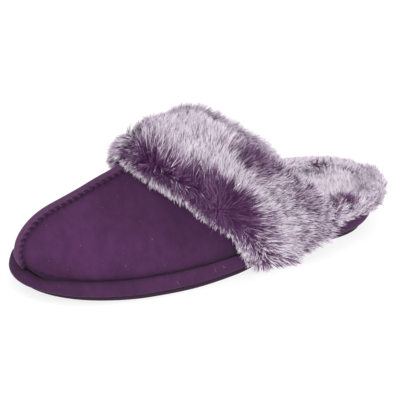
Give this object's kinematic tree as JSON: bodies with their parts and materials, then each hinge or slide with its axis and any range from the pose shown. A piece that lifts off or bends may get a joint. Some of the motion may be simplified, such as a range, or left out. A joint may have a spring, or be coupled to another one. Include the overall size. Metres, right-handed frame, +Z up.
{
  "type": "slipper",
  "caption": "Backless mule slipper for the left foot: purple suede-look vamp with a raised centre seam, deep frosted fur cuff and fur rim, wrapped platform sole",
  "frame": {"origin": "Middle of the bounding box, on the plane the sole rests on", "axes": "+X to the toe, +Y to the wearer's left, which is the outer side of this left shoe, +Z up"},
  "size_m": [0.2756, 0.1306, 0.1026],
  "materials": {
    "outsole": "matte",
    "midsole": "matte brushed nap",
    "insole": "short fur pile",
    "upper": "matte brushed nap",
    "seam_strip": "matte brushed nap",
    "fur_cuff": "deep frosted pile, dark roots and pale tips",
    "fur_rim": "deep frosted pile, dark roots and pale tips"
  },
  "bodies": {
    "root": {"outsole": "outsole", "midsole": "midsole", "insole": "insole", "upper": "upper", "seam_strip": "seam_strip", "fur_cuff": "fur_cuff", "fur_rim": "fur_rim"}
  },
  "joints": []
}
